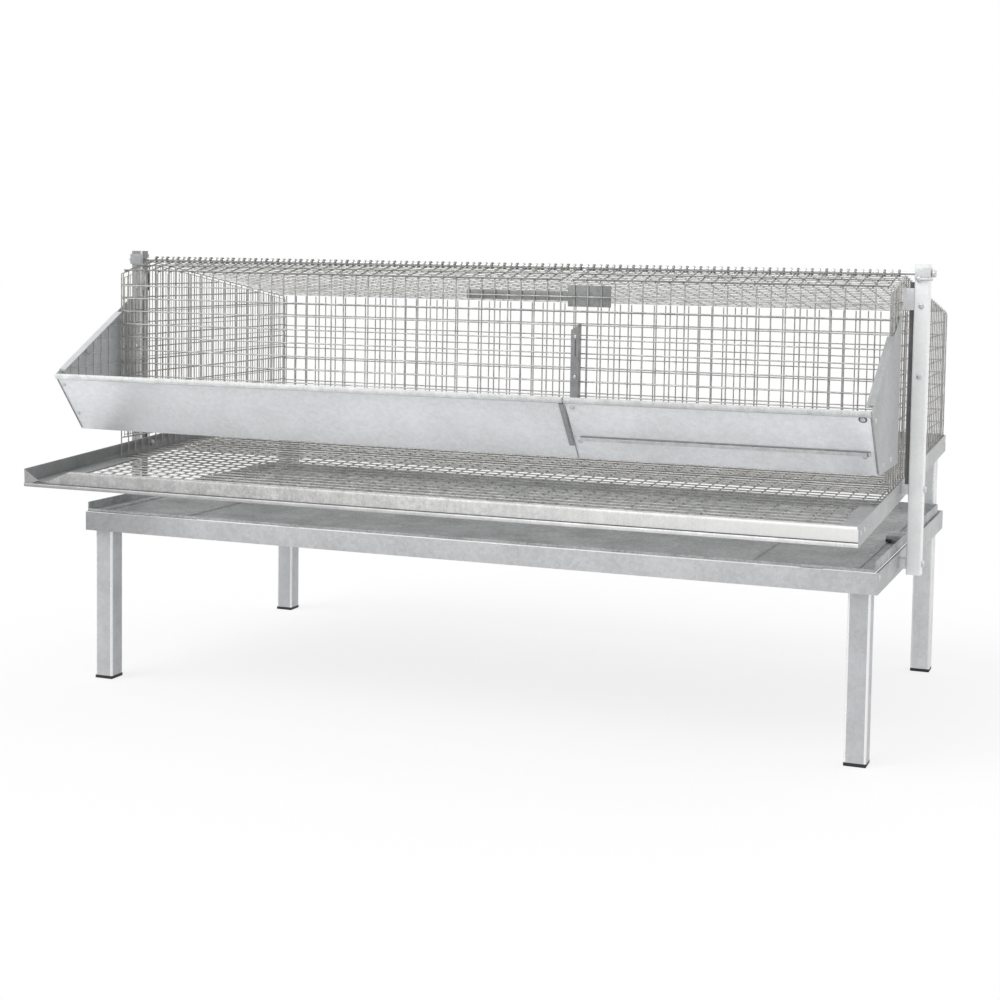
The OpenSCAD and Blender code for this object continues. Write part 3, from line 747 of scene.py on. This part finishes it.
# The right upright is painted near white and the left one in the darker side zinc, though they are the same
# tube. This is painted light on the right one and painted shade on the left.
post_painted_light_zinc = galvanised("post_painted_light_zinc", (0.95, 0.955, 0.965), 0.05, cloud=20)
band_zinc = galvanised("band_zinc", (0.72, 0.73, 0.745), 0.10, cloud=26, fade=(-0.60, 0.60, 0.52, 1.0))
square_tube("upright_left", post_corner, side_zinc)
square_tube("upright_right", post_corner, post_painted_light_zinc)
for node, zinc in (("upright_bolts", stud_zinc), ("upright_nuts", stud_zinc), ("upright_spacers", band_zinc),
                   ("upright_bands", band_zinc), ("mesh_brackets", band_zinc)):
    softened(node, small_edge, zinc)
band_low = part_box("upright_bands")[0]
post_low, post_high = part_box("upright_right")
post_x = (post_low[0] + post_high[0]) / 2
post_spots = [((sign * post_x, post_low[1], z), to_front) for sign in (-1, 1) for z in post_rivet_z]
set_heads("upright_rivet_heads", post_head, post_spots, stud_zinc, "cage")

clamp_x = (0.6066, 0.6114)
clamp_y = (0.0030, 0.0044)
clamp_foot_z = 0.3560
clamp_top_gap = 0.0040
clamp_sheet = 0.0006
clamp_return = 0.0120
for hand, sign in hands.items():
    edges = sorted(sign * x for x in clamp_x)
    clamp = block("end_clamp_shade_" + hand, (edges[0], post_low[1] + clamp_y[0], clamp_foot_z),
                  (edges[1], post_low[1] + clamp_y[1], band_low[2] - clamp_top_gap))
    pull_out(clamp, lambda f: f.normal.x * sign > facing, (sign * clamp_sheet, 0, 0))
    pull_out(clamp, lambda f: f.normal.y > facing and f.calc_center_median().x * sign > clamp_x[1],
             (0, clamp_return, 0))
    finish_piece(clamp, dark_and_painted_shade_zinc, "cage")

pin_r = 0.0019
pin_length = 0.0165
pin_sides = 16
pin_round = 0.0012
pin_z = 0.6372
pin_place = (post_x + 0.0065, band_low[1] - 0.0018, pin_z)
bolt_head = (0.0045, 0.0030)
bolt_place = (post_x - 0.0035, band_low[1], pin_z)
bpy.ops.object.select_all(action="DESELECT")
bpy.ops.mesh.primitive_cylinder_add(vertices=pin_sides, radius=pin_r, depth=pin_length, location=pin_place,
                                    rotation=(0, math.pi / 2, 0))
pin = bpy.context.object
pin.name = "band_pin"
bpy.ops.object.transform_apply(location=True, rotation=True, scale=True)
rounded(pin, "FACE", lambda f: f.normal.x > facing, pin_round, steps=3)
finish_piece(pin, stud_zinc, "cage", smooth=50)
set_heads("band_bolt_head", bolt_head, [(bolt_place, to_front)], stud_zinc, "cage")

# Cage walls and roof: panels of the same welded wire that meet at the corners.
# The uprights' brackets hold the end walls, and the roof wire is coloured a lighter grey than the walls.
roof_wire = galvanised("roof_wire", (0.58, 0.575, 0.56), 0.30, rough=0.38, **drawn)
for node in ("front_mesh", "rear_mesh", "left_end_mesh", "right_end_mesh"):
    paint(node, wire)
paint("roof_mesh", roof_wire)

# End liners: a second panel of finer wire, tied to the inside of the left end and to the front of the right.
# Each wire is cut a little under the roof, which falls from the hinge rod to both sides.
liner_left_x = -0.5943
liner_right_x = 0.5931
liner_start_gap = 0.003
liner_stop_gap = 0.005
liner_post_gap = 0.002
liner_foot = 0.030
liner_pitch = 0.0080
liner_cross_pitch = 0.0240
liner_first_cross = 0.004
liner_overhang = 0.001
least_run = 0.01
roof_gap = 0.009
rod_low, rod_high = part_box("hinge_rod")
roof_low, roof_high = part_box("roof_mesh")
rod_y, rod_z = (rod_low[1] + rod_high[1]) / 2, (rod_low[2] + rod_high[2]) / 2
mesh_low, mesh_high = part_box("front_mesh")
end_low, end_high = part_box("left_end_mesh")


def under_roof(y):
    front_fall = (rod_z - mesh_high[2]) / (rod_y - mesh_low[1])
    back_fall = (rod_z - roof_low[2]) / (roof_high[1] - rod_y)
    return rod_z - roof_gap - (abs(y - rod_y) * (front_fall if y < rod_y else back_fall))


def end_liner(name, x, from_y, to_y):
    foot_z = end_low[2] + liner_foot
    cross_x = x + 2 * liner_r
    wires = []
    count = round((to_y - from_y) / liner_pitch)
    for i in range(count + 1):
        y = from_y + (to_y - from_y) * i / count
        wires.append(thin_wire(name, (x, y, foot_z), (x, y, under_roof(y))))
    z = foot_z + liner_first_cross
    while z < under_roof(to_y):
        wires.append(thin_wire(name, (cross_x, from_y - liner_overhang, z),
                               (cross_x, to_y + liner_overhang, z)))
        z += liner_cross_pitch
    top_y = min(max(rod_y, from_y), to_y)
    for start, stop in ((from_y, top_y), (top_y, to_y)):
        if stop - start > least_run:
            wires.append(thin_wire(name, (x, start, under_roof(start)), (x, stop, under_roof(stop))))
    finish_piece(join_pieces(wires), wire, "cage", slot="mesh_wire")


liner_start = mesh_high[1] + liner_start_gap
end_liner("end_liner_left", liner_left_x, liner_start, end_high[1] - liner_stop_gap)
end_liner("end_liner_right", liner_right_x, liner_start, post_low[1] - liner_post_gap)

# Plates behind the top of the front mesh: strips of dull galvanised sheet beside the gap between the lids.
# They are cut to length, and their edges are broken.
# This dull dark zinc colours the plates. On the troughs it is also the colour of painted shadow lines.
plate_and_painted_shade_zinc = galvanised("plate_and_painted_shade_zinc", (0.27, 0.275, 0.275), 0.20, cloud=30, grain=500)
softened("front_plates", small_edge, plate_and_painted_shade_zinc)

# Hinge rod: drawn bright steel rod through both uprights, with the eyes of the lids and the roof on it.
# Rounded caps are pressed on its ends.
rod_cap_edge = 0.0022
softened("rod_caps", rod_cap_edge, stud_zinc, steps=3)
paint("hinge_rod", stud_zinc)

# Lids: the front of the roof in two halves of welded wire, bent into eyes round the hinge rod.
# Their wire is duller than that of the walls.
lid_wire = galvanised("lid_wire", (0.24, 0.237, 0.228), 0.30, rough=0.38, **drawn)
for hand in hands:
    paint("lid_" + hand, lid_wire)

# Troughs: each bent from one bright sheet, hooked on the front mesh, with a doubled hem along the rim.
# The right one has a fold along its front, and both are riveted to their end plates.
trough_edge = 0.0006
front_run = 0.070
front_drop = 0.086
trough_zinc = galvanised("trough_zinc", (0.83, 0.85, 0.87), 0.085, cloud=9, grain=620, flake=0.14, rough=0.40)
for hand in hands:
    softened("trough_" + hand, trough_edge, trough_zinc)
trough_low, trough_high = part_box("trough_left")
rim_y, rim_z = trough_low[1], trough_high[2]
rim = Vector((rim_y, rim_z))
fall = Vector((front_run, -front_drop)).normalized()
outward = Vector((fall.y, -fall.x))


def down_front(start, down, proud):
    return tuple(start + fall * down + outward * proud)


rim_ends_gap = 0.0003
rim_sheet = 0.0010
rim_line = [down_front(rim, down, proud)
            for down, proud in ((0.0066, 0.0004), (0.0060, 0.0021), (0.0046, 0.0028), (0, 0.0024))]
rim_line += [(rim_y + back, rim_z + up)
             for back, up in ((-0.0016, 0.0002), (-0.0001, 0.0010), (0.0062, 0.0010), (0.0078, 0.0002),
                              (0.0078, -0.0040))]
# A thin dark strip under each rim hem and another down the outer end of each trough's front are painted
# shadow lines.
rim_shadow_sheet = 0.0003
rim_shadow_line = [down_front(rim, down, proud)
                 for down, proud in ((0.0070, 0.0002), (0.0074, 0.0009), (0.0080, 0.0008), (0.0084, 0.0002))]
end_shadow_edges = (0.0002, 0.0012)
end_shadow_sheet = 0.0006
end_shadow_proud = 0.0005
end_shadow_line = [down_front(rim, down, end_shadow_proud) for down in (0.0086, 0.1085)]
rim_zinc = galvanised("rim_zinc", (0.72, 0.725, 0.73), 0.16, cloud=60, grain=480, rough=0.36,
                      fade=(-0.10, 0.30, 1.14, 0.90))
for hand, sign in hands.items():
    low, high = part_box("trough_" + hand)
    rim_ends = (low[0] + rim_ends_gap, high[0] - rim_ends_gap)
    rolled = folded_strip("trough_rim_" + hand, rim_ends, rim_line, rim_sheet)
    finish_piece(rolled, rim_zinc, "trough_" + hand, smooth=50)
    under = folded_strip("trough_rim_shadow_" + hand, rim_ends, rim_shadow_line, rim_shadow_sheet)
    finish_piece(under, plate_and_painted_shade_zinc, "trough_" + hand)
    outer_x = low[0] if hand == "left" else high[0]
    outer = sorted(outer_x - sign * inset for inset in end_shadow_edges)
    edge = folded_strip("trough_end_shadow_" + hand, outer, end_shadow_line, end_shadow_sheet)
    finish_piece(edge, plate_and_painted_shade_zinc, "trough_" + hand)

# On the right trough, a dark strip along the lapped edge of the fold is a painted shadow line, and a short
# dark strip near the right end is painted shade in a slot.
lap_share = 0.62
lap_gaps = (0.010, 0.006)
lap_shadow_sheet = 0.0006
lap_sheet = 0.0008
lap_slot_x = (0.5895, 0.5912)
lap_slot_sheet = 0.0006
lap_shadow_line = ((-0.0002, 0.0003), (0.0000, 0.0011), (0.0009, 0.0010))
lap_line = ((0.0016, 0.0003), (0.0020, 0.0012), (0.0078, 0.0006), (0.0082, -0.0008))
lap_slot_line = ((0.0005, 0.0014), (0.0085, 0.0008))
lap_low, lap_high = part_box("trough_right")
lap = Vector((rim_y + lap_share * front_run, rim_z - lap_share * front_drop))
lap_ends = (lap_low[0] + lap_gaps[0], lap_high[0] - lap_gaps[1])
for name, ends, line, thick, zinc in (
    ("trough_lap_shadow", lap_ends, lap_shadow_line, lap_shadow_sheet, plate_and_painted_shade_zinc),
    ("trough_lap_strip", lap_ends, lap_line, lap_sheet, rim_zinc),
    ("trough_lap_slot_shade", lap_slot_x, lap_slot_line, lap_slot_sheet, dark_and_painted_shade_zinc),
):
    strip = folded_strip(name, ends, [down_front(lap, down, proud) for down, proud in line], thick)
    finish_piece(strip, zinc, "trough_right", smooth=50)

# End plates: cut sheets that close the outer ends of the troughs and rise along the end mesh.
# Their sloping edge is folded in, rivets hold them to the troughs, and fine wires are tied inside them.
# The hooks that hang the troughs are bent from strip.
fold_lift = 0.0006
fold_sheet = 0.0009
fold_run = (0.0125, 0.1615)
fold_ends = {"left": (-0.6020, -0.5908), "right": (0.5945, 0.6020)}
end_zinc = galvanised("end_zinc", (0.43, 0.44, 0.445), 0.12, cloud=13, grain=700,
                      fade=(-0.60, 0.60, 1.25, 1.0))
# The folded-in edge is coloured lighter than its plate, though it is the same sheet. This is painted light on
# the fold, which darkens towards the right.
fold_painted_light_zinc = galvanised("fold_painted_light_zinc", (0.60, 0.61, 0.62), 0.10, cloud=22, grain=900, rough=0.36,
                       fade=(-0.60, 0.60, 1.0, 0.60))
for hand in hands:
    softened("trough_end_" + hand, sheet_edge, end_zinc)
    softened("trough_hooks_" + hand, small_edge, stud_zinc)
    set_heads("trough_rivet_heads_" + hand, rivet_head, outside_spots("trough_rivets_" + hand), stud_zinc,
              "trough_" + hand, "trough_rivets_" + hand)
plate_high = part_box("trough_end_right")[1]
edge_rise = (plate_high[2] - rim_z) / (plate_high[1] - rim_y)
fold_line = [(rim_y + back, rim_z + back * edge_rise + fold_lift) for back in fold_run]
for hand in hands:
    fold = folded_strip("trough_end_hem_" + hand, fold_ends[hand], fold_line, fold_sheet)
    finish_piece(fold, fold_painted_light_zinc, "trough_" + hand)

bar_x = 0.59985
bar_pitch = 0.020
bar_count = 7
bar_foot = 0.009
bar_least_foot = 0.004
bar_top_gap = 0.003
rung_count = 5
rung_first = 0.008
rung_start = 0.008
rung_stop = 0.163
front_steep = front_drop / front_run
for hand, sign in hands.items():
    name = "end_plate_wires_" + hand
    x = sign * bar_x
    inner = x - sign * 2 * liner_r
    bars = []
    for i in range(bar_count):
        back = bar_pitch + i * bar_pitch
        foot = max(rim_z - back * front_steep + bar_foot, trough_low[2] + bar_least_foot)
        bars.append(thin_wire(name, (x, rim_y + back, foot),
                              (x, rim_y + back, rim_z + back * edge_rise - bar_top_gap)))
    for i in range(rung_count):
        rise = rung_first + i * bar_pitch
        bars.append(thin_wire(name, (inner, rim_y + rise / edge_rise + rung_start, rim_z + rise),
                              (inner, rim_y + rung_stop, rim_z + rise)))
    finish_piece(join_pieces(bars), roof_wire, "trough_" + hand, slot="mesh_wire")

# Rivets on the trough fronts: domed heads, two at the left end of the left trough and two at each end of the
# right one. One stands on a dark washer, and the lower pair of the right trough sits back on the folded foot.
left_head = (0.0030, 0.0015)
left_rivets = ((-0.5935, 0.4590), (-0.5935, 0.4140))
right_head = (0.0036, 0.0018)
right_rivets = ((0.5893, 0.4645), (0.2060, 0.4620))
foot_rivets = ((0.5860, 0.4130), (0.2040, 0.4130))
fold_in = 0.003
washer = (0.0056, 0.0006)
face_out = (0, outward.x, outward.y)


def on_front(x, height, inset=0.0):
    return ((x, rim_y + (rim_z - height) * front_run / front_drop + inset, height), face_out)


set_heads("trough_front_rivets_left", left_head, [on_front(*rivet) for rivet in left_rivets], stud_zinc,
          "trough_left")
set_heads("trough_front_washer", washer, [on_front(*right_rivets[0])], dark_and_painted_shade_zinc, "trough_right")
set_heads("trough_front_rivets_right", right_head, [on_front(*rivet) for rivet in right_rivets]
          + [on_front(*rivet, fold_in) for rivet in foot_rivets], stud_zinc, "trough_right")

# Joint of the troughs: a narrow strip beside the slit on the left trough's front, and behind the rim
# a bracket folded from strip, its top cut on a slope, with a slot between two rivets.
strip_width = 0.0066
strip_sheet = 0.0014
strip_proud = 0.0012
strip_line = [down_front(rim, down, strip_proud) for down in (0.0085, 0.0860)]
joint_zinc = galvanised("joint_zinc", (0.34, 0.343, 0.345), 0.18, cloud=30, grain=700)
strip_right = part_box("trough_joint_strip")[1][0]
cover = folded_strip("trough_joint_cover", (strip_right - strip_width, strip_right), strip_line, strip_sheet)
finish_piece(cover, joint_zinc, "trough_left", "trough_joint_strip")

bracket_slope = (-0.52, 0, 0.85)
bracket_sheet = 0.0012
bracket_return = 0.012
bracket_zinc = galvanised("bracket_zinc", (0.30, 0.302, 0.305), 0.22, cloud=40, grain=700)
joint_low, joint_high = (Vector(corner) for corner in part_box("trough_joint_bracket"))
bracket = block("trough_joint_bracket_fold", joint_low, joint_high)
cut_off((joint_high.x, joint_low.y, joint_high.z), bracket_slope)
pull_out(bracket, lambda f: f.normal.x > facing, (bracket_sheet, 0, 0))
pull_out(bracket, lambda f: f.normal.y < -facing and f.calc_center_median().x > joint_high.x,
         (0, -bracket_return, 0))
finish_piece(bracket, bracket_zinc, "trough_left", "trough_joint_bracket")

# The slot is a thin dark block on the bracket's face: painted shade in the slot.
bracket_slot_x = (0.0062, 0.0078)
bracket_slot_down = (0.046, 0.022)
bracket_slot_proud = 0.0004
bracket_slot_round = 0.0006
bracket_slot_turn = 0.0005
bracket_slot = block("joint_bracket_slot_shade", (joint_low.x + bracket_slot_x[0], joint_low.y - bracket_slot_proud,
                                            joint_high.z - bracket_slot_down[0]),
                     (joint_low.x + bracket_slot_x[1], joint_low.y + bracket_slot_proud,
                      joint_high.z - bracket_slot_down[1]))
rounded(bracket_slot, "EDGE", lambda e: abs(e.verts[0].co.y - e.verts[1].co.y) > bracket_slot_turn,
        bracket_slot_round, steps=2)
finish_piece(bracket_slot, dark_and_painted_shade_zinc, "trough_left")

bracket_head = (0.0026, 0.0014)
bracket_rivet_x = 0.007
bracket_rivets_down = (0.018, 0.075)
bracket_spots = [((joint_low.x + bracket_rivet_x, joint_low.y, joint_high.z - down), to_front)
                 for down in bracket_rivets_down]
set_heads("joint_bracket_rivets", bracket_head, bracket_spots, stud_zinc, "trough_left")

low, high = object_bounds()
